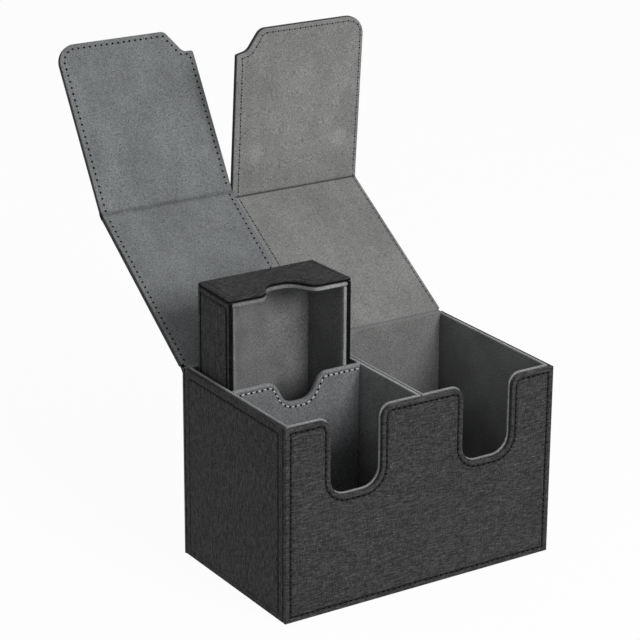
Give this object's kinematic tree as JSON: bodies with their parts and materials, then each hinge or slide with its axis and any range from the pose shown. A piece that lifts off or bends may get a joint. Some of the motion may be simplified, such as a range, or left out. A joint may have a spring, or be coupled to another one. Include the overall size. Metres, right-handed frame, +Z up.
{
  "type": "card box",
  "caption": "Leatherette card box with suede-lined cells, folding lids with magnetic front flaps, U-shaped finger slots, a cross divider and an upright open-fronted lift-out tray.",
  "frame": {"origin": "centre of the box's underside, on the table", "axes": "+Z up; the finger slots face -Y, the lids are hinged at +Y and lean back; +X is to the right seen from the front"},
  "size_m": [0.16, 0.23, 0.2486],
  "materials": {
    "leatherette": "matte, fine woven grain",
    "suede": "soft short-nap suede",
    "board": "raw pressed board",
    "magnet": "plated discs"
  },
  "bodies": {
    "box": {"base_cover": "leatherette", "base_board": "board", "front_cover": "leatherette", "front_board": "board", "back_cover": "leatherette", "back_board": "board", "left_side_cover": "leatherette", "left_side_board": "board", "right_side_cover": "leatherette", "right_side_board": "board", "front_magnets": "magnet", "left_liner_floor": "suede", "left_liner_front": "suede", "left_liner_back": "suede", "left_liner_outer": "suede", "left_liner_middle": "suede", "right_liner_floor": "suede", "right_liner_front": "suede", "right_liner_back": "suede", "right_liner_outer": "suede", "right_liner_middle": "suede", "divider_suede": "suede", "divider_board": "board", "left_hinge_leather": "leatherette", "left_hinge_lining": "suede", "right_hinge_leather": "leatherette", "right_hinge_lining": "suede"},
    "left_lid": {"left_lid_cover": "leatherette", "left_lid_board": "board", "left_lid_lining": "suede", "left_fold_leather": "leatherette", "left_fold_lining": "suede"},
    "left_flap": {"left_flap_cover": "leatherette", "left_flap_board": "board", "left_flap_lining": "suede", "left_flap_magnets": "magnet"},
    "right_lid": {"right_lid_cover": "leatherette", "right_lid_board": "board", "right_lid_lining": "suede", "right_fold_leather": "leatherette", "right_fold_lining": "suede"},
    "right_flap": {"right_flap_cover": "leatherette", "right_flap_board": "board", "right_flap_lining": "suede", "right_flap_magnets": "magnet"},
    "tray": {"tray_top_cover": "leatherette", "tray_top_board": "board", "tray_bottom_cover": "leatherette", "tray_bottom_board": "board", "tray_left_cover": "leatherette", "tray_left_board": "board", "tray_right_cover": "leatherette", "tray_right_board": "board", "tray_back_cover": "leatherette", "tray_back_board": "board", "tray_lining": "suede", "tray_back_lining": "suede"}
  },
  "joints": [
    {"name": "left_lid_hinge", "type": "hinge", "parent": "box", "child": "left_lid", "pos_m": [0, 0.049, 0.103], "axis": [1, 0, 0], "range_deg": [-35, 145], "deforming": ["left_hinge_leather", "left_hinge_lining"]},
    {"name": "right_lid_hinge", "type": "hinge", "parent": "box", "child": "right_lid", "pos_m": [0, 0.049, 0.103], "axis": [1, 0, 0], "range_deg": [-32.3, 147.7], "deforming": ["right_hinge_leather", "right_hinge_lining"]},
    {"name": "left_flap_fold", "type": "hinge", "parent": "left_lid", "child": "left_flap", "pos_m": [0, 0.13222, 0.1592], "axis": [1, 0, 0], "range_deg": [-34.3, 65.7], "deforming": ["left_fold_leather", "left_fold_lining"]},
    {"name": "right_flap_fold", "type": "hinge", "parent": "right_lid", "child": "right_flap", "pos_m": [0, 0.13477, 0.15521], "axis": [1, 0, 0], "range_deg": [-71.9, 28.1], "deforming": ["right_fold_leather", "right_fold_lining"]},
    {"name": "tray_slide", "type": "slide", "parent": "box", "child": "tray", "axis": [0, 0, 1], "range_m": [-0.0588, 0.0144]}
  ],
  "couplings": [
    {"joint": "tray_slide", "follows": "left_lid_hinge", "m_per_rad": -0.02312}
  ]
}
